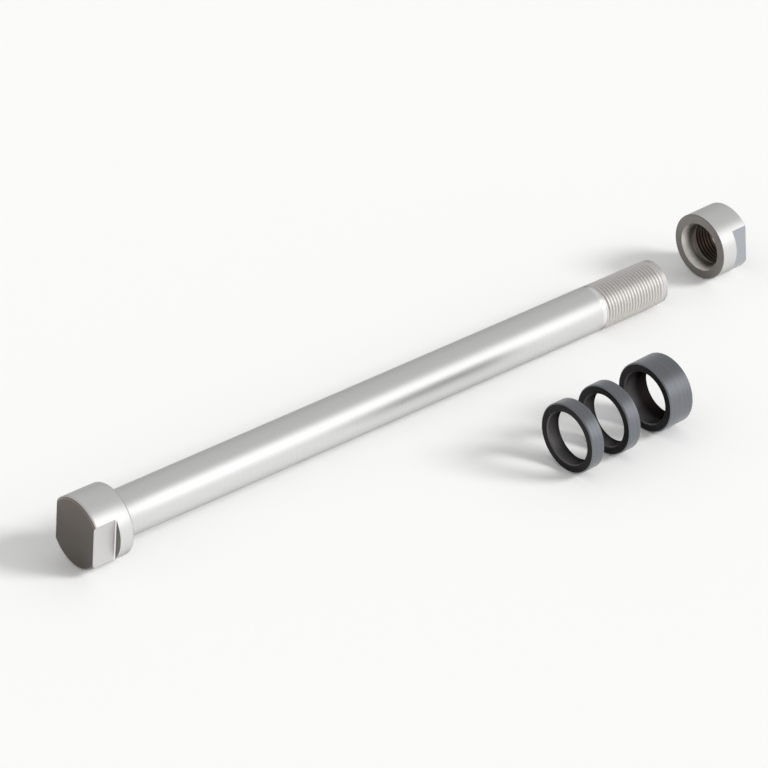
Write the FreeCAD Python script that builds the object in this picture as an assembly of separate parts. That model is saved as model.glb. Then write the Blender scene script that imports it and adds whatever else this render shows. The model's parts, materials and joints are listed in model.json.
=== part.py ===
import FreeCAD, Part
import math
import os

# A thru axle set, laid out loose on a bench: the axle, its nut and three spacers.
# The axle lies on its head's rim and its thread end, so it slopes down a little to the thread.
# The nut lies past the thread end, and the spacers stand on their rims in a row beside the axle.
# All sizes are in millimetres, and angles in degrees.

# Metric thread of the axle and the nut: single start, right hand
thread_diameter = 12.0
thread_pitch = 1.0
crest_clearance = 0.1           # taken off the diameter of the axle's crests

# Axle: wrench head, plain shaft, a short taper and the thread
axle_length = 188.2
shaft_diameter = 12.0
head_diameter = 18.6
head_length = 10.5
head_chamfer_length = 0.7
head_chamfer_depth = 0.8
head_rim_round = 0.4
neck_fillet = 0.3
head_across_flats = 14.5
head_flat_length = 6.4
head_flat_lean = 4.5            # turn of the flats about the axle, as it lies
threaded_length = 23.2          # from the end of the full shaft to the end face
taper_length = 1.2              # smooth band between the shaft and the thread
lead_length = 2.5               # lead at the thread's end, where the crests run down
lead_depth = 0.15
end_chamfer = 0.3

# Nut: countersunk on its seat side, wrench flats on its outer end
nut_diameter = 17.8
nut_length = 10.0
nut_across_flats = 14.6
nut_flat_length = 5.2
nut_flat_lean = -5.0            # turn of the flats about the nut, as it lies
nut_seat_chamfer = 0.2
nut_rim_chamfer = 0.5
countersink_diameter = 13.1
exit_chamfer = 0.5

# Wrench flats of both: the corner that the cutter leaves, and the edge broken at the end face
flat_corner_radius = 0.25
flat_edge_chamfer = 0.25

# Spacers: two thin and one thick, with the same ring section
spacer_diameter = 18.3
spacer_bore_clearance = 1.7     # the bore's diameter over the shaft's
spacer_edge_chamfer = 0.3
thin_spacer_width = 4.0
thick_spacer_width = 7.8

# Places on the bench
nut_gap = 17.6                  # from the thread end to the nut's seat
nut_side_offset = 1.2
nut_yaw = 0.3
spacer_row_start = 115.8        # along the axle, from the head's end face
spacer_row_gap = 26.3           # from the side of the head to the side of the first spacer
spacer_gaps = (8.4, 10.7)       # from one spacer to the next, along the axle
spacer_steps = (0.3, 0.8)       # from one spacer to the next, towards the axle
spacer_yaws = (0.4, 1.3, 1.3)

# Depth of an internal metric thread, as a share of its pitch
internal_depth_share = 0.5413

# Two edges this close together are at the same place
same_place = 1e-6

shaft_radius = shaft_diameter / 2
crest_radius = (thread_diameter - crest_clearance) / 2
head_radius = head_diameter / 2
nut_radius = nut_diameter / 2
nut_bore_radius = thread_diameter / 2 - internal_depth_share * thread_pitch
countersink_radius = countersink_diameter / 2
spacer_radius = spacer_diameter / 2
spacer_bore_radius = (shaft_diameter + spacer_bore_clearance) / 2

origin = FreeCAD.Vector(0, 0, 0)
axis_x = FreeCAD.Vector(1, 0, 0)
axis_y = FreeCAD.Vector(0, 1, 0)
axis_z = FreeCAD.Vector(0, 0, 1)


def bend(before, corner, after, radius):
    """Start, middle and end of the arc that rounds a corner between two straight lines."""
    back = (before - corner).normalize()
    ahead = (after - corner).normalize()
    half_angle = back.getAngle(ahead) / 2
    reach = radius / math.tan(half_angle)
    inward = (back + ahead).normalize()
    middle = corner + inward * (radius / math.sin(half_angle) - radius)
    return [corner + back * reach, middle, corner + ahead * reach]


def turned(corners):
    """A solid turned about X. Corners are (length, radius), and a third number rounds one."""
    points = [FreeCAD.Vector(corner[0], corner[1], 0) for corner in corners]
    turns = []
    for index, corner in enumerate(corners):
        turns.append([points[index]])
        if len(corner) == 3:
            after = points[(index + 1) % len(points)]
            turns[-1] = bend(points[index - 1], points[index], after, corner[2])
    edges = []
    for index, turn in enumerate(turns):
        if len(turn) == 3:
            edges.append(Part.Arc(turn[0], turn[1], turn[2]).toShape())
        following = turns[(index + 1) % len(turns)]
        edges.append(Part.makeLine(turn[-1], following[0]))
    return Part.Face(Part.Wire(edges)).revolve(origin, axis_x, 360)


def upright_edges(solid, x, y):
    """The solid's edges along Z that stand at this x and y."""
    found = []
    for edge in solid.Edges:
        centre = edge.CenterOfMass
        upright = edge.Length - edge.BoundBox.ZLength < same_place
        if upright and math.hypot(centre.x - x, centre.y - y) < same_place:
            found.append(edge)
    return found


def with_flats(solid, radius, across_flats, step_x, end_x):
    """Mill two flats, from a step at step_x out through the end face at end_x."""
    flat_y = across_flats / 2
    cutter_x = step_x if end_x > step_x else step_x - radius
    cutter = Part.makeBox(radius, radius, 2 * radius, FreeCAD.Vector(cutter_x, flat_y, -radius))
    cutter = cutter.makeFillet(flat_corner_radius, upright_edges(cutter, step_x, flat_y))
    solid = solid.cut(cutter)
    cutter.rotate(origin, axis_x, 180)
    solid = solid.cut(cutter)
    broken = upright_edges(solid, end_x, flat_y) + upright_edges(solid, end_x, -flat_y)
    return solid.makeChamfer(flat_edge_chamfer, broken)


def make_axle():
    """One turned bar, with the flats milled on its head. Its head's end face is at the origin."""
    shaft_end = axle_length - threaded_length
    axle = turned([
        (0, 0),
        (0, head_radius - head_chamfer_depth),
        (head_chamfer_length, head_radius),
        (head_length, head_radius, head_rim_round),
        (head_length, shaft_radius, neck_fillet),
        (shaft_end, shaft_radius),
        (shaft_end + taper_length, crest_radius),
        (axle_length - lead_length, crest_radius),
        (axle_length - end_chamfer, crest_radius - lead_depth),
        (axle_length, crest_radius - lead_depth - end_chamfer),
        (axle_length, 0),
    ])
    axle = with_flats(axle, head_radius, head_across_flats, head_flat_length, 0)
    axle.rotate(origin, axis_x, head_flat_lean)
    return axle


def axle_slope():
    """Slope in radians at which the head's rim and the thread's last full crest touch the bench."""
    along = (axle_length - lead_length) - (head_length - head_rim_round)
    drop = (head_radius - head_rim_round) - crest_radius
    return math.atan2(drop, along) + math.asin(head_rim_round / math.hypot(along, drop))


def axle_height():
    """Height of the axle's own axis over the bench, at the head's end face."""
    slope = axle_slope()
    return crest_radius * math.cos(slope) + (axle_length - lead_length) * math.sin(slope)


def make_nut():
    """A turned round nut with a countersunk hole for the thread, and flats on its outer end."""
    nut = turned([
        (0, countersink_radius),
        (0, nut_radius - nut_seat_chamfer),
        (nut_seat_chamfer, nut_radius),
        (nut_length - nut_rim_chamfer, nut_radius),
        (nut_length, nut_radius - nut_rim_chamfer),
        (nut_length, nut_bore_radius + exit_chamfer),
        (nut_length - exit_chamfer, nut_bore_radius),
        (countersink_radius - nut_bore_radius, nut_bore_radius),
    ])
    nut = with_flats(nut, nut_radius, nut_across_flats, nut_length - nut_flat_length, nut_length)
    nut.rotate(origin, axis_x, nut_flat_lean)
    return nut


def make_spacer(width):
    """A turned ring with its four edges broken."""
    chamfer = spacer_edge_chamfer
    return turned([
        (0, spacer_bore_radius + chamfer),
        (0, spacer_radius - chamfer),
        (chamfer, spacer_radius),
        (width - chamfer, spacer_radius),
        (width, spacer_radius - chamfer),
        (width, spacer_bore_radius + chamfer),
        (width - chamfer, spacer_bore_radius),
        (chamfer, spacer_bore_radius),
    ])


def put(solid, x, y, z, yaw):
    """Turn a piece about the upright axis and put its own origin at x, y and z."""
    solid.rotate(origin, axis_z, yaw)
    solid.translate(FreeCAD.Vector(x, y, z))
    return solid


axle = make_axle()
axle.rotate(origin, axis_y, math.degrees(axle_slope()))
pieces = {"axle": put(axle, 0, 0, axle_height(), 0)}

nut_x = axle_length * math.cos(axle_slope()) + nut_gap
pieces["nut"] = put(make_nut(), nut_x, nut_side_offset, nut_radius, nut_yaw)

spacer_widths = {
    "thin_spacer_1": thin_spacer_width,
    "thin_spacer_2": thin_spacer_width,
    "thick_spacer": thick_spacer_width,
}
spacer_x = spacer_row_start
spacer_y = -(head_radius + spacer_row_gap + spacer_radius)
for index, (name, width) in enumerate(spacer_widths.items()):
    pieces[name] = put(make_spacer(width), spacer_x, spacer_y, spacer_radius, spacer_yaws[index])
    if index < len(spacer_gaps):
        spacer_x += width + spacer_gaps[index]
        spacer_y += spacer_steps[index]

# The origin is on the bench, under the middle of the whole set
bounds = Part.makeCompound(list(pieces.values())).optimalBoundingBox(False, False)
to_origin = FreeCAD.Vector(-bounds.Center.x, -bounds.Center.y, 0)

os.makedirs("parts", exist_ok=True)
for name, solid in pieces.items():
    solid.translate(to_origin)
    solid.exportStep("parts/" + name + ".step")
    print(name, "valid", solid.isValid(), "volume", round(solid.Volume, 1), "mm3")
print("size", [round(side, 2) for side in (bounds.XLength, bounds.YLength, bounds.ZLength)], "mm")
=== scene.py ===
import json
import math

import bmesh
import bpy
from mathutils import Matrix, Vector


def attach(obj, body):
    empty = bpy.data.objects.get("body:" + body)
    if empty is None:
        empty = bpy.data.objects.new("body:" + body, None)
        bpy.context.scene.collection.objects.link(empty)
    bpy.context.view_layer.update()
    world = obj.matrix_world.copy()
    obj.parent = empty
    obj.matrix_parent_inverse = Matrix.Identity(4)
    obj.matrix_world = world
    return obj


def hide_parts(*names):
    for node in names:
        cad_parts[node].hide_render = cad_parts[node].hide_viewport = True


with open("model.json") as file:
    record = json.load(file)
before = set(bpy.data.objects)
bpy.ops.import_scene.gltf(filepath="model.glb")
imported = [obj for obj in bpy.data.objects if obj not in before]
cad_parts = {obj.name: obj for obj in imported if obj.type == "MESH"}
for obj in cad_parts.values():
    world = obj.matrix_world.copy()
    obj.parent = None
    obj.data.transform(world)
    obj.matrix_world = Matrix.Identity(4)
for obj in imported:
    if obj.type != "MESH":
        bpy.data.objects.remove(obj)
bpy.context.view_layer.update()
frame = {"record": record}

# Camera: a long lens well back, level, that looks down on the set from the head's side.
# Its place was worked out from the outlines of the axle, the nut and the rings.
mm = 0.001
camera_azimuth = math.radians(-41.119)
camera_elevation = math.radians(31.498)
camera_distance = 1145.59 * mm
camera_aim = Vector((1.07, 36.51, 0)) * mm
sensor_width = 36.0
focal_length = 214.33

to_camera = Vector((
    math.sin(camera_azimuth) * math.cos(camera_elevation),
    -math.cos(camera_azimuth) * math.cos(camera_elevation),
    math.sin(camera_elevation),
))
lens = bpy.data.cameras.new("camera")
lens.sensor_width = sensor_width
lens.lens = focal_length
camera = bpy.data.objects.new("camera", lens)
camera.location = camera_aim + to_camera * camera_distance
camera.rotation_mode = "QUATERNION"
camera.rotation_quaternion = to_camera.to_track_quat("Z", "Y")
bpy.context.scene.collection.objects.link(camera)
bpy.context.scene.camera = camera
bpy.context.scene.view_settings.view_transform = "Standard"

# Floor: a sheet of white matt board, the studio's table top, so wide that its edge is never seen.
# It is plain and lit just up to white, so it keeps the set's soft shadows. Its size is in metres.
floor_size = 40.0
floor_colour = "#F9F9F8"


def linear(hex_colour):
    """The linear colour of an sRGB hex value, by that standard's own curve."""
    channels = [int(hex_colour[start:start + 2], 16) / 255 for start in (1, 3, 5)]
    return [c / 12.92 if c <= 0.04045 else ((c + 0.055) / 1.055) ** 2.4 for c in channels] + [1.0]


def add_node(tree, kind, settings, inputs):
    """A new node with its settings, and with its inputs set to values or linked to sockets."""
    node = tree.nodes.new(kind)
    for name, value in settings.items():
        setattr(node, name, value)
    for name, value in inputs.items():
        if isinstance(value, bpy.types.NodeSocket):
            tree.links.new(value, node.inputs[name])
        else:
            node.inputs[name].default_value = value
    return node


def empty_tree(owner):
    """The owner's node tree, cleared."""
    owner.use_nodes = True
    owner.node_tree.nodes.clear()
    return owner.node_tree


# Matt board: white card with no gloss, so it takes the shadows and mirrors nothing
matt_board = bpy.data.materials.new("white_matt_board")
tree = empty_tree(matt_board)
board = add_node(tree, "ShaderNodeBsdfDiffuse", {}, {"Color": linear(floor_colour)})
add_node(tree, "ShaderNodeOutputMaterial", {}, {"Surface": board.outputs[0]})

floor_mesh = bpy.data.meshes.new("floor")
half = floor_size / 2
floor_corners = [(-half, -half, 0), (half, -half, 0), (half, half, 0), (-half, half, 0)]
floor_mesh.from_pydata(floor_corners, [], [(0, 1, 2, 3)])
floor_mesh.materials.append(matt_board)
floor = bpy.data.objects.new("floor", floor_mesh)
bpy.context.scene.collection.objects.link(floor)

# Light: a soft key lamp at the front right, which the metal doesn't show.
# What it shows as its bright band is a wide glow in front, a little to the left of the lamp.
# The rest of the room is pale grey, and lights the shadows.
key_direction = Vector((0.559, -0.627, 0.543)).normalized()
key_spread = math.radians(18)
key_strength = 1.9
glow_direction = Vector((0.40, -0.79, 0.46)).normalized()
glow_inner = math.cos(math.radians(6))
glow_outer = math.cos(math.radians(35))
glow_strength = 1.7
glow_colour = "#FFFFFF"
room_strength = 0.6

key = bpy.data.lights.new("key", "SUN")
key.energy = key_strength
key.angle = key_spread
key_object = bpy.data.objects.new("key", key)
key_object.rotation_mode = "QUATERNION"
key_object.rotation_quaternion = key_direction.to_track_quat("Z", "Y")
key_object.visible_glossy = False
bpy.context.scene.collection.objects.link(key_object)

room = bpy.data.worlds.new("room")
bpy.context.scene.world = room
tree = empty_tree(room)
direction = add_node(tree, "ShaderNodeTexCoord", {}, {})
towards_glow = add_node(tree, "ShaderNodeVectorMath", {"operation": "DOT_PRODUCT"}, {
    0: direction.outputs["Generated"], 1: glow_direction,
})
brightness = add_node(tree, "ShaderNodeMapRange", {"interpolation_type": "SMOOTHSTEP"}, {
    "Value": towards_glow.outputs["Value"], "From Min": glow_outer, "From Max": glow_inner,
    "To Min": room_strength, "To Max": glow_strength,
})
glow = add_node(tree, "ShaderNodeBackground", {}, {
    "Color": linear(glow_colour), "Strength": brightness.outputs[0],
})
add_node(tree, "ShaderNodeOutputWorld", {}, {"Surface": glow.outputs[0]})

# Axle: one bar of aluminium, turned on a lathe, with two wrench flats milled on its head.
# Its far end carries a fine metric thread, single start and right hand, cut in the same turning.
# The head's end face is at 0 along it, and all sizes are in millimetres.
head_radius = 9.3
head_length = 10.5
head_edge_length = 0.8
head_edge_depth = 0.9
head_rim_round = 0.4
head_flat_distance = 7.25
head_flat_length = 6.4
head_flat_lean = math.radians(4.5)
flat_corner_radius = 0.25
flat_edge_chamfer = 0.25
neck_fillet = 0.3
shaft_radius = 6.0
shaft_end = 165.0
shaft_row_gap = 12.0
taper_length = 1.2
crest_radius = 5.95
lead_length = 2.5
lead_depth = 0.15
end_chamfer = 0.3
axle_length = 188.2

# The thread's profile. Real crests are an eighth of a pitch wide, too fine to show, so they are
# drawn a third wide, and the groove less deep. The roots have their real width, a quarter.
thread_pitch = 1.0
crest_width = thread_pitch / 3
root_width = thread_pitch / 4
flank_width = (thread_pitch - crest_width - root_width) / 2
flank_angle = math.radians(30)
flank_slope = 1 / math.tan(flank_angle)
thread_run_in = 1.5 * thread_pitch
thread_run_out = 2.8 * thread_pitch

# Its four corners, as shares of a pitch from the middle of a crest
thread_corners = (
    crest_width / 2 / thread_pitch,
    0.5 - root_width / 2 / thread_pitch,
    0.5 + root_width / 2 / thread_pitch,
    1 - crest_width / 2 / thread_pitch,
)

# Columns of points on each flat and each round side of a piece, and steps in its small arcs
flat_columns = 56
round_columns = 72
column_count = 2 * (flat_columns + round_columns)
arc_steps = 5
edge_steps = 5
quarter_turn = math.radians(90)

# Points closer than this are one point, and edges that bend more than this are sharp
same_place = 1e-4 * mm
sharp_angle = math.radians(24)


def column_angles(corner):
    """Angles of the columns of points round a piece, with a column on each edge of its two flats."""
    angles = []
    for middle in (0, math.pi):
        for step in range(flat_columns):
            angles.append(middle - corner + 2 * corner * step / flat_columns)
        for step in range(round_columns):
            angles.append(middle + corner + (math.pi - 2 * corner) * step / round_columns)
    return angles


def corner_of(radius, flat):
    """Half the angle that a flat takes of a circle."""
    return math.acos(min(flat / radius, 1.0))


def ring(along, radius, corner, flat=None):
    """Points round the axis, cut by two flats where there are any: (along, across, up)."""
    points = []
    for angle in column_angles(corner):
        reach = radius
        if flat and radius * abs(math.cos(angle)) > flat:
            reach = flat / abs(math.cos(angle))
        points.append((along, reach * math.cos(angle), reach * math.sin(angle)))
    return points


def rings_of(outline, corner):
    """Round rings from an outline of (along, radius)."""
    return [ring(along, radius, corner) for along, radius in outline]


def flat_ring(along, radius, flat):
    """A ring whose columns follow the edges of its own flats."""
    return ring(along, radius, corner_of(radius, flat), flat)


def arc(centre_along, centre_radius, radius, start, stop):
    """Steps along an arc of the turned outline, as (along, radius), by degrees from the axis."""
    steps = []
    for step in range(arc_steps + 1):
        angle = math.radians(start + (stop - start) * step / arc_steps)
        steps.append((centre_along + radius * math.cos(angle), centre_radius + radius * math.sin(angle)))
    return steps


def groove(share):
    """Depth of the thread's groove at this share of a pitch from the middle of a crest."""
    from_root = max(abs(share - 0.5) * thread_pitch - root_width / 2, 0.0)
    return max(flank_width - from_root, 0.0) * flank_slope


def smooth(share):
    """A smooth step from 0 to 1."""
    share = min(max(share, 0.0), 1.0)
    return share * share * (3 - 2 * share)


def thread_rings(start, stop, corner, radius_at):
    """Rings that follow the thread's helix, held between start and stop along the axis."""
    angles = column_angles(corner)
    turns = math.ceil((stop - start) / thread_pitch) + 2
    rings = []
    for turn in range(-1, turns):
        for share in thread_corners:
            points = []
            for angle in angles:
                lead = (angle - angles[0]) / (2 * math.pi)
                along = start + (turn + share + lead) * thread_pitch
                along = min(max(along, start), stop)
                reach = radius_at(along, share)
                points.append((along, reach * math.cos(angle), reach * math.sin(angle)))
            rings.append(points)
    return rings


def axle_thread_radius(along, share):
    """The crests less the groove, which fades in after the smooth band and out in the lead."""
    run_in = smooth((along - thread_start) / thread_run_in)
    run_in *= smooth((thread_stop - along) / thread_run_out)
    lead = max(along - (axle_length - lead_length), 0.0) / (lead_length - end_chamfer)
    return min(crest_radius - lead_depth * lead, crest_radius - groove(share) * run_in)


def turned_piece(name, bands, lie, finishes, closed=False):
    """A piece made of rings of points. A band has its rings, the finish of the faces that follow
    each ring, their finish on the flats or the thread's crests, and whether it is a thread."""
    rings = []
    finish_of = []
    partner = []
    for band_rings, finish, second_finish, is_thread in bands:
        first = len(rings)
        last = first + len(band_rings) - 1
        for index, points in enumerate(band_rings, first):
            rings.append(points)
            if not is_thread:
                finish_of.append((finish, second_finish))
                partner.append(index)
                continue
            on_crest = (index - first + 1) % len(thread_corners) == 0
            strip_finish = second_finish if on_crest else finish
            finish_of.append((strip_finish, strip_finish))
            partner.append(min(index + len(thread_corners), last))
    if closed:
        rings.append(rings[0])
        finish_of.append(finish_of[0])
        partner.append(len(rings) - 1)

    # A thread's ring ends one pitch on from where it starts, so there it meets its partner
    faces = []
    face_finish = []
    for index in range(len(rings) - 1):
        for column in range(column_count):
            following = column + 1
            near, far = index, index + 1
            if following == column_count:
                following = 0
                near, far = partner[index], partner[index + 1]
            faces.append((
                index * column_count + column,
                near * column_count + following,
                far * column_count + following,
                (index + 1) * column_count + column,
            ))
            on_flat = column % (flat_columns + round_columns) < flat_columns
            face_finish.append(finish_of[index][on_flat])
    mesh = bpy.data.meshes.new(name)
    mesh.from_pydata([lie(point) for points in rings for point in points], [], faces)
    mesh.polygons.foreach_set("material_index", face_finish)

    # The way that the tool has come along the outline, in millimetres, for the finishes
    path = [0.0]
    for index in range(1, len(rings)):
        path.append(path[-1] + (Vector(rings[index][-1]) - Vector(rings[index - 1][-1])).length)
    tool_path = mesh.attributes.new("tool_path", "FLOAT", "POINT")
    tool_path.data.foreach_set("value", [
        path[index] + (path[partner[index]] - path[index]) * column / column_count
        for index in range(len(rings)) for column in range(column_count)
    ])

    joined = bmesh.new()
    joined.from_mesh(mesh)
    bmesh.ops.remove_doubles(joined, verts=joined.verts, dist=same_place)
    bmesh.ops.recalc_face_normals(joined, faces=joined.faces)
    joined.to_mesh(mesh)
    joined.free()
    mesh.shade_smooth()
    mesh.set_sharp_from_angle(angle=sharp_angle)
    for finish in finishes:
        mesh.materials.append(finish)
    piece = bpy.data.objects.new(name, mesh)
    bpy.context.scene.collection.objects.link(piece)
    return piece


# The head's flats end in a step, in the corner that the cutter leaves
step_flat = head_flat_distance + flat_corner_radius
step_corner = corner_of(head_radius, step_flat)
edge_rings = []
for step in range(edge_steps + 1):
    turn = quarter_turn * step / edge_steps
    along = head_edge_length * (1 - math.cos(turn))
    radius = head_radius - head_edge_depth * (1 - math.sin(turn))
    flat = head_flat_distance - max(flat_edge_chamfer - along, 0)
    edge_rings.append(flat_ring(along, radius, flat))
corner_rings = []
for step in range(arc_steps + 1):
    turn = quarter_turn * step / arc_steps
    along = head_flat_length - flat_corner_radius * (1 - math.sin(turn))
    flat = head_flat_distance + flat_corner_radius * (1 - math.cos(turn))
    corner_rings.append(flat_ring(along, head_radius, flat))

collar_outline = [(head_flat_length, head_radius)]
rim_outline = arc(head_length - head_rim_round, head_radius - head_rim_round, head_rim_round, 90, 0)
neck_outline = arc(head_length + neck_fillet, shaft_radius + neck_fillet, neck_fillet, 180, 270)
shaft_start = head_length + neck_fillet
shaft_rows = math.ceil((shaft_end - shaft_start) / shaft_row_gap)
shaft_outline = [
    (shaft_start + (shaft_end - shaft_start) * row / shaft_rows, shaft_radius)
    for row in range(1, shaft_rows + 1)
]
thread_start = shaft_end + taper_length
thread_stop = axle_length - end_chamfer
end_outline = [(axle_length, crest_radius - lead_depth - end_chamfer), (axle_length, 0)]

# The axle lies on its head's rim and on its thread, so it slopes.
# The record's mount is at the middle of its plain shaft.
mounts = {mount["name"]: mount for mount in frame["record"]["mounts"]}
axle_along = Vector(mounts["axle_shaft"]["axis"])
level = Vector((0, 1, 0))
upright = axle_along.cross(level)
axle_across = level * math.cos(head_flat_lean) + upright * math.sin(head_flat_lean)
axle_up = axle_along.cross(axle_across)
head_end = Vector(mounts["axle_shaft"]["pos_m"]) - axle_along * (shaft_start + shaft_end) / 2 * mm


def lie_as_axle(point):
    """A point of the axle, where the axle lies."""
    along, across, up = point
    return head_end + (axle_along * along + axle_across * across + axle_up * up) * mm


# Bare aluminium straight from the lathe, fine turned: a satin grey with faint rings round it.
# The tool moves on about 0.1 mm a turn, too fine to show, so its rings are drawn 0.4 mm apart.
turned_aluminium = bpy.data.materials.new("turned_aluminium")
turning_marks = 0.4
mark_detail = 3.0
mark_range = (0.35, 0.65)
turned_colours = ("#E1E1E0", "#E5E5E4")
# Its dark edge tint dims the skin's reflection towards the edges of the round: partly the rough metal's
# own, and partly painted shade
turned_edge_shade = "#BCBCBB"
turned_roughness = (0.33, 0.39)

# A Mix node's names repeat, so its two colours and the mixed one go by their places
first_colour, second_colour, mixed = 6, 7, 2
tree = empty_tree(turned_aluminium)
tool_path = add_node(tree, "ShaderNodeAttribute", {"attribute_name": "tool_path"}, {})
marks = add_node(tree, "ShaderNodeTexNoise", {"noise_dimensions": "1D"}, {
    "W": tool_path.outputs["Fac"], "Scale": 1 / turning_marks, "Detail": mark_detail,
})
roughness = add_node(tree, "ShaderNodeMapRange", {}, {
    "Value": marks.outputs[0], "To Min": turned_roughness[0], "To Max": turned_roughness[1],
})
shade = add_node(tree, "ShaderNodeMapRange", {}, {
    "Value": marks.outputs[0], "From Min": mark_range[0], "From Max": mark_range[1],
})
colour = add_node(tree, "ShaderNodeMix", {"data_type": "RGBA"}, {
    "Factor": shade.outputs[0],
    first_colour: linear(turned_colours[0]),
    second_colour: linear(turned_colours[1]),
})
metal = add_node(tree, "ShaderNodeBsdfPrincipled", {}, {
    "Base Color": colour.outputs[mixed], "Metallic": 1.0, "Specular Tint": linear(turned_edge_shade),
    "Roughness": roughness.outputs[0],
})
add_node(tree, "ShaderNodeOutputMaterial", {}, {"Surface": metal.outputs[0]})

# Bare aluminium from the milling cutter: a little flatter and greyer than the turned skin
milled_aluminium = bpy.data.materials.new("milled_aluminium")
milled_colour = "#E0DFDF"
milled_roughness = 0.62
tree = empty_tree(milled_aluminium)
metal = add_node(tree, "ShaderNodeBsdfPrincipled", {}, {
    "Base Color": linear(milled_colour), "Metallic": 1.0, "Roughness": milled_roughness,
})
add_node(tree, "ShaderNodeOutputMaterial", {}, {"Surface": metal.outputs[0]})

# Bare aluminium of the cut thread, torn a little by the tool: rougher, and a shade warmer.
# The head's rim and a middle band of its round edge take it too, as painted shade, and its dark edge
# tint is painted shade where the metal turns away from view.
threaded_aluminium = bpy.data.materials.new("threaded_aluminium")
threaded_colour = "#DCD7D3"
threaded_edge_shade = "#9A9693"
threaded_roughness = 0.36
tree = empty_tree(threaded_aluminium)
metal = add_node(tree, "ShaderNodeBsdfPrincipled", {}, {
    "Base Color": linear(threaded_colour), "Metallic": 1.0, "Specular Tint": linear(threaded_edge_shade),
    "Roughness": threaded_roughness,
})
add_node(tree, "ShaderNodeOutputMaterial", {}, {"Surface": metal.outputs[0]})

# Bare aluminium cut straight across, as on the end faces, the steps behind the flats and the
# edges beside them: dull, and coloured dark as painted shade, for faces that turn away from the key lamp
shaded_faced_aluminium = bpy.data.materials.new("shaded_faced_aluminium")
faced_shade_colour = "#85807B"
faced_roughness = 0.36
tree = empty_tree(shaded_faced_aluminium)
metal = add_node(tree, "ShaderNodeBsdfPrincipled", {}, {
    "Base Color": linear(faced_shade_colour), "Metallic": 1.0, "Roughness": faced_roughness,
})
add_node(tree, "ShaderNodeOutputMaterial", {}, {"Surface": metal.outputs[0]})

# The head's own end face, where the bar was sawn off: darker still, and a little brown, as painted shade
shaded_sawn_aluminium = bpy.data.materials.new("shaded_sawn_aluminium")
sawn_shade_colour = "#6B655F"
sawn_roughness = 0.40
tree = empty_tree(shaded_sawn_aluminium)
metal = add_node(tree, "ShaderNodeBsdfPrincipled", {}, {
    "Base Color": linear(sawn_shade_colour), "Metallic": 1.0, "Roughness": sawn_roughness,
})
add_node(tree, "ShaderNodeOutputMaterial", {}, {"Surface": metal.outputs[0]})

# The band that the tool leaves between the shaft and the thread, and the corner at the end of
# the head's flats: burnished, so they flash where they meet the light. Their pale colour is partly
# painted highlight, and their dark edge tint is painted shade.
burnished_aluminium = bpy.data.materials.new("burnished_aluminium")
burnished_highlight_colour = "#F8F8F7"
burnished_edge_shade = "#7E7E7E"
burnished_roughness = 0.22
tree = empty_tree(burnished_aluminium)
metal = add_node(tree, "ShaderNodeBsdfPrincipled", {}, {
    "Base Color": linear(burnished_highlight_colour), "Metallic": 1.0, "Specular Tint": linear(burnished_edge_shade),
    "Roughness": burnished_roughness,
})
add_node(tree, "ShaderNodeOutputMaterial", {}, {"Surface": metal.outputs[0]})

# The finishes' places in the axle's list, and the rows at which the head's round edge changes
# from the sawn face's finish over to the turned skin's. These steps paint shade that fades out over the
# edge.
turned, milled, threaded, shaded_faced, shaded_sawn, burnished = range(6)
edge_faced, edge_shade_middle, edge_turned = 1, 3, 5
axle_finishes = [
    turned_aluminium,
    milled_aluminium,
    threaded_aluminium,
    shaded_faced_aluminium,
    shaded_sawn_aluminium,
    burnished_aluminium,
]
skin_outline = rim_outline[-1:] + neck_outline + shaft_outline[:-1]
axle_thread = thread_rings(thread_start, thread_stop, step_corner, axle_thread_radius)

# From the middle of the head's end face to the middle of the thread's
axle = turned_piece("axle_bar", [
    (rings_of([(0, 0)], step_corner), shaded_sawn, shaded_sawn, False),
    (edge_rings[:edge_faced], shaded_sawn, shaded_faced, False),
    (edge_rings[edge_faced:edge_shade_middle], shaded_faced, milled, False),
    (edge_rings[edge_shade_middle:edge_turned], threaded, milled, False),
    (edge_rings[edge_turned:], turned, milled, False),
    (corner_rings[:-1], turned, burnished, False),
    (corner_rings[-1:], turned, shaded_faced, False),
    (rings_of(collar_outline, step_corner), turned, turned, False),
    (rings_of(rim_outline[:-1], step_corner), threaded, threaded, False),
    (rings_of(skin_outline, step_corner), turned, turned, False),
    (rings_of(shaft_outline[-1:], step_corner), burnished, burnished, False),
    (rings_of([(thread_start, crest_radius)], step_corner), threaded, threaded, False),
    (axle_thread, threaded, turned, True),
    (rings_of(end_outline, step_corner), shaded_faced, shaded_faced, False),
], lie_as_axle, axle_finishes)
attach(axle, "root")
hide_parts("axle")

# Nut: turned from the same bar, with a countersink that runs into its threaded hole in a curve.
# Two flats for a wrench are milled on its outer end.
# It lies on its side past the end of the axle, and its seat face is at 0 along it.
nut_radius = 8.9
nut_length = 10.0
nut_flat_distance = 7.3
nut_flat_length = 5.2
nut_flat_lean = math.radians(-5)
nut_seat_chamfer = 0.2
nut_rim_chamfer = 0.5
countersink_radius = 6.55
exit_chamfer = 0.5
thread_radius = 6.0
internal_depth_share = 0.5413
nut_bore_radius = thread_radius - internal_depth_share * thread_pitch
mouth_depth = 3.8
mouth_power = 2.2
mouth_steps = 5
nut_thread_start = 2.0
nut_thread_stop = nut_length - exit_chamfer
nut_run_in = 3.0 * thread_pitch
nut_run_out = 0.8 * thread_pitch

nut_step_flat = nut_flat_distance + flat_corner_radius
nut_corner = corner_of(nut_radius, nut_step_flat)
nut_step = nut_length - nut_flat_length
nut_rim_radius = nut_radius - nut_rim_chamfer


def mouth_radius(along):
    """The countersink, which runs into the hole in a curve."""
    left = max(1 - along / mouth_depth, 0.0)
    return nut_bore_radius + (countersink_radius - nut_bore_radius) * left ** mouth_power


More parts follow.
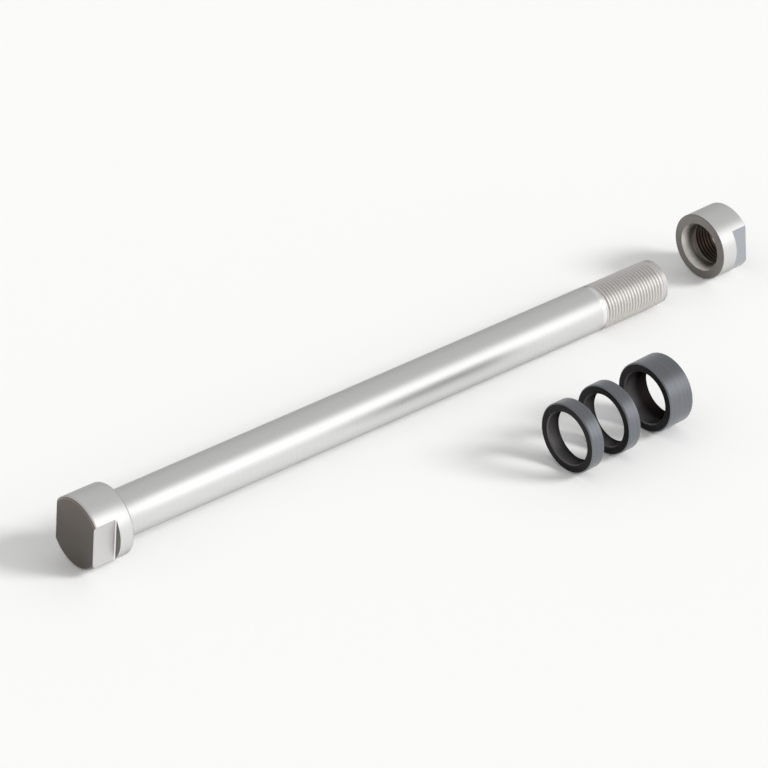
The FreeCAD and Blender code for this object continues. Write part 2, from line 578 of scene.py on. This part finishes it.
def nut_thread_radius(along, share):
    """The mouth, the hole and the groove cut into them, which fades in and out."""
    run_in = smooth((along - nut_thread_start) / nut_run_in)
    run_in *= smooth((nut_thread_stop - along) / nut_run_out)
    return max(mouth_radius(along), nut_bore_radius + groove(share) * run_in)


mouth_rows = [nut_thread_start * step / mouth_steps for step in range(mouth_steps + 1)]
mouth_outline = [(row, mouth_radius(row)) for row in mouth_rows]

# The nut's outer end, from the edge of its end face to the step behind the flats
nut_end_rings = [
    flat_ring(nut_length, nut_rim_radius, nut_flat_distance - flat_edge_chamfer),
    flat_ring(nut_length - flat_edge_chamfer, nut_rim_radius + flat_edge_chamfer, nut_flat_distance),
    flat_ring(nut_length - nut_rim_chamfer, nut_radius, nut_flat_distance),
]
for step in range(arc_steps + 1):
    turn = quarter_turn * step / arc_steps
    along = nut_step + flat_corner_radius * (1 - math.sin(turn))
    flat = nut_flat_distance + flat_corner_radius * (1 - math.cos(turn))
    nut_end_rings.append(flat_ring(along, nut_radius, flat))

# The record's mount is at the middle of the nut's hole, behind the plain countersink of the solid
hole_start = countersink_radius - nut_bore_radius
straight_up = Vector((0, 0, 1))
nut_along = -Vector(mounts["nut_thread"]["axis"])
level = straight_up.cross(nut_along)
upright = nut_along.cross(level)
nut_across = level * math.cos(nut_flat_lean) + upright * math.sin(nut_flat_lean)
nut_up = nut_along.cross(nut_across)
nut_seat = Vector(mounts["nut_thread"]["pos_m"]) - nut_along * (hole_start + nut_thread_stop) / 2 * mm


def lie_as_nut(point):
    """A point of the nut, where the nut lies."""
    along, across, up = point
    return nut_seat + (nut_along * along + nut_across * across + nut_up * up) * mm


# Bare aluminium of the nut's milled flats: greyer than the head's flats as painted shade, for the
# light that falls off at this end of the set, and a little blue
shaded_nut_flat = bpy.data.materials.new("shaded_milled_aluminium")
nut_flat_shade_colour = "#B4B8BD"
nut_flat_roughness = 0.36
tree = empty_tree(shaded_nut_flat)
metal = add_node(tree, "ShaderNodeBsdfPrincipled", {}, {
    "Base Color": linear(nut_flat_shade_colour), "Metallic": 1.0, "Roughness": nut_flat_roughness,
})
add_node(tree, "ShaderNodeOutputMaterial", {}, {"Surface": metal.outputs[0]})

# Bare aluminium of the tapped hole: bright at its mouth, and darkened brown further in as painted
# shade, where little light reaches. The depths are millimetres along the tool's path.
tapped_aluminium = bpy.data.materials.new("tapped_aluminium")
tapped_colour_and_shade = ("#E0DBD5", "#40362E")
tapped_roughness = 0.38
tapped_shade_start = 3.0
tapped_shade_full = 8.4
tree = empty_tree(tapped_aluminium)
tool_path = add_node(tree, "ShaderNodeAttribute", {"attribute_name": "tool_path"}, {})
hole_shade = add_node(tree, "ShaderNodeMapRange", {}, {
    "Value": tool_path.outputs["Fac"], "From Min": tapped_shade_start, "From Max": tapped_shade_full,
})
colour = add_node(tree, "ShaderNodeMix", {"data_type": "RGBA"}, {
    "Factor": hole_shade.outputs[0],
    first_colour: linear(tapped_colour_and_shade[0]),
    second_colour: linear(tapped_colour_and_shade[1]),
})
metal = add_node(tree, "ShaderNodeBsdfPrincipled", {}, {
    "Base Color": colour.outputs[mixed], "Metallic": 1.0, "Roughness": tapped_roughness,
})
add_node(tree, "ShaderNodeOutputMaterial", {}, {"Surface": metal.outputs[0]})

# The turned skin and the faces of painted shade have the places in this list that they have in the
# axle's
shaded_flat, tapped = 1, 2
nut_finishes = [turned_aluminium, shaded_nut_flat, tapped_aluminium, shaded_faced_aluminium]
nut_thread = thread_rings(nut_thread_start, nut_thread_stop, nut_corner, nut_thread_radius)

# From the seat face in through the hole, and back over the outside
nut = turned_piece("nut_body", [
    (rings_of([(0, nut_radius - nut_seat_chamfer)], nut_corner), shaded_faced, shaded_faced, False),
    (rings_of(mouth_outline, nut_corner), tapped, tapped, False),
    (nut_thread, tapped, tapped, True),
    (rings_of([(nut_length, nut_bore_radius + exit_chamfer)], nut_corner), shaded_faced, shaded_faced, False),
    (nut_end_rings[:-1], turned, shaded_flat, False),
    (nut_end_rings[-1:], turned, shaded_faced, False),
    (rings_of([(nut_step, nut_radius)], nut_corner), turned, turned, False),
    (rings_of([(nut_seat_chamfer, nut_radius)], nut_corner), shaded_faced, shaded_faced, False),
], lie_as_nut, nut_finishes, closed=True)
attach(nut, "root")
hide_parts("nut")

# Spacers: rings parted off a turned tube and anodised black, with their edges broken.
# They stand on their rims in a row, two thin and one thick.
# They have no flats, so their corner only spreads the columns of points.
spacer_radius = 9.15
spacer_bore_radius = 6.85
spacer_edge_chamfer = 0.3
spacer_corner = math.radians(40)
spacer_widths = {"thin_spacer_1": 4.0, "thin_spacer_2": 4.0, "thick_spacer": 7.8}

# Aluminium with a clear oxide layer dyed black: the satin metal under it still shines, dark and
# a little blue. Its turning rings take the dye unevenly, and are drawn as coarse as the axle's.
black_anodised = bpy.data.materials.new("black_anodised_aluminium")
anodised_colours = ("#74777C", "#808388")
anodised_roughness = (0.30, 0.36)
oxide_weight = 0.25
oxide_ior = 1.5
oxide_roughness = 0.30
tree = empty_tree(black_anodised)
tool_path = add_node(tree, "ShaderNodeAttribute", {"attribute_name": "tool_path"}, {})
marks = add_node(tree, "ShaderNodeTexNoise", {"noise_dimensions": "1D"}, {
    "W": tool_path.outputs["Fac"], "Scale": 1 / turning_marks, "Detail": mark_detail,
})
roughness = add_node(tree, "ShaderNodeMapRange", {}, {
    "Value": marks.outputs[0], "To Min": anodised_roughness[0], "To Max": anodised_roughness[1],
})
shade = add_node(tree, "ShaderNodeMapRange", {}, {
    "Value": marks.outputs[0], "From Min": mark_range[0], "From Max": mark_range[1],
})
colour = add_node(tree, "ShaderNodeMix", {"data_type": "RGBA"}, {
    "Factor": shade.outputs[0],
    first_colour: linear(anodised_colours[0]),
    second_colour: linear(anodised_colours[1]),
})
oxide = add_node(tree, "ShaderNodeBsdfPrincipled", {}, {
    "Base Color": colour.outputs[mixed], "Metallic": 1.0, "Roughness": roughness.outputs[0],
    "Coat Weight": oxide_weight, "Coat IOR": oxide_ior, "Coat Roughness": oxide_roughness,
})
add_node(tree, "ShaderNodeOutputMaterial", {}, {"Surface": oxide.outputs[0]})

# The same on the parted faces, coloured blacker than the sides as painted shade, with a dark edge tint
# that is painted shade too
shaded_black_face = bpy.data.materials.new("black_anodised_face")
black_face_shade_colour = "#3B3A3A"
black_face_edge_shade = "#8A8989"
black_face_roughness = 0.42
tree = empty_tree(shaded_black_face)
oxide = add_node(tree, "ShaderNodeBsdfPrincipled", {}, {
    "Base Color": linear(black_face_shade_colour), "Metallic": 1.0, "Specular Tint": linear(black_face_edge_shade),
    "Roughness": black_face_roughness,
})
add_node(tree, "ShaderNodeOutputMaterial", {}, {"Surface": oxide.outputs[0]})

# And inside the rings: a little lighter at the near mouth as painted light, and black further in as
# painted shade, where little light reaches. The depths are millimetres along the tool's path.
shaded_black_bore = bpy.data.materials.new("black_anodised_bore")
bore_mouth_light_colour = "#6A6869"
bore_shade_colour = "#1F1C1B"
black_bore_edge_shade = "#8A8989"
black_bore_roughness = 0.42
bore_shade_start = 1.4
bore_shade_full = 6.6
tree = empty_tree(shaded_black_bore)
tool_path = add_node(tree, "ShaderNodeAttribute", {"attribute_name": "tool_path"}, {})
depth = add_node(tree, "ShaderNodeMapRange", {"interpolation_type": "SMOOTHSTEP"}, {
    "Value": tool_path.outputs["Fac"], "From Min": bore_shade_start, "From Max": bore_shade_full,
})
colour = add_node(tree, "ShaderNodeMix", {"data_type": "RGBA"}, {
    "Factor": depth.outputs[0],
    first_colour: linear(bore_mouth_light_colour),
    second_colour: linear(bore_shade_colour),
})
oxide = add_node(tree, "ShaderNodeBsdfPrincipled", {}, {
    "Base Color": colour.outputs[mixed], "Metallic": 1.0, "Specular Tint": linear(black_bore_edge_shade),
    "Roughness": black_bore_roughness,
})
add_node(tree, "ShaderNodeOutputMaterial", {}, {"Surface": oxide.outputs[0]})

# Each goes from the edge of its near face in through the hole, and back over the outside
side_finish, face_finish, bore_finish = range(3)
spacer_finishes = [black_anodised, shaded_black_face, shaded_black_bore]
for name, width in spacer_widths.items():
    bore = mounts[name + "_bore"]
    along_axis = Vector(bore["axis"]) * math.copysign(1, bore["axis"][0])
    across_axis = straight_up.cross(along_axis)
    near_face = Vector(bore["pos_m"]) - along_axis * width / 2 * mm

    def lie_as_spacer(point):
        """A point of this spacer, where it stands."""
        along, across, up = point
        return near_face + (along_axis * along + across_axis * across + straight_up * up) * mm

    chamfer = spacer_edge_chamfer
    near_edge = [(0, spacer_radius - chamfer)]
    inside = [
        (0, spacer_bore_radius + chamfer),
        (chamfer, spacer_bore_radius),
        (width - chamfer, spacer_bore_radius),
    ]
    far_edge = [(width, spacer_bore_radius + chamfer)]
    outside = [
        (width, spacer_radius - chamfer),
        (width - chamfer, spacer_radius),
        (chamfer, spacer_radius),
    ]
    spacer = turned_piece(name + "_ring", [
        (rings_of(near_edge, spacer_corner), face_finish, face_finish, False),
        (rings_of(inside, spacer_corner), bore_finish, bore_finish, False),
        (rings_of(far_edge, spacer_corner), face_finish, face_finish, False),
        (rings_of(outside, spacer_corner), side_finish, side_finish, False),
    ], lie_as_spacer, spacer_finishes, closed=True)
    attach(spacer, "root")
    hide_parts(name)
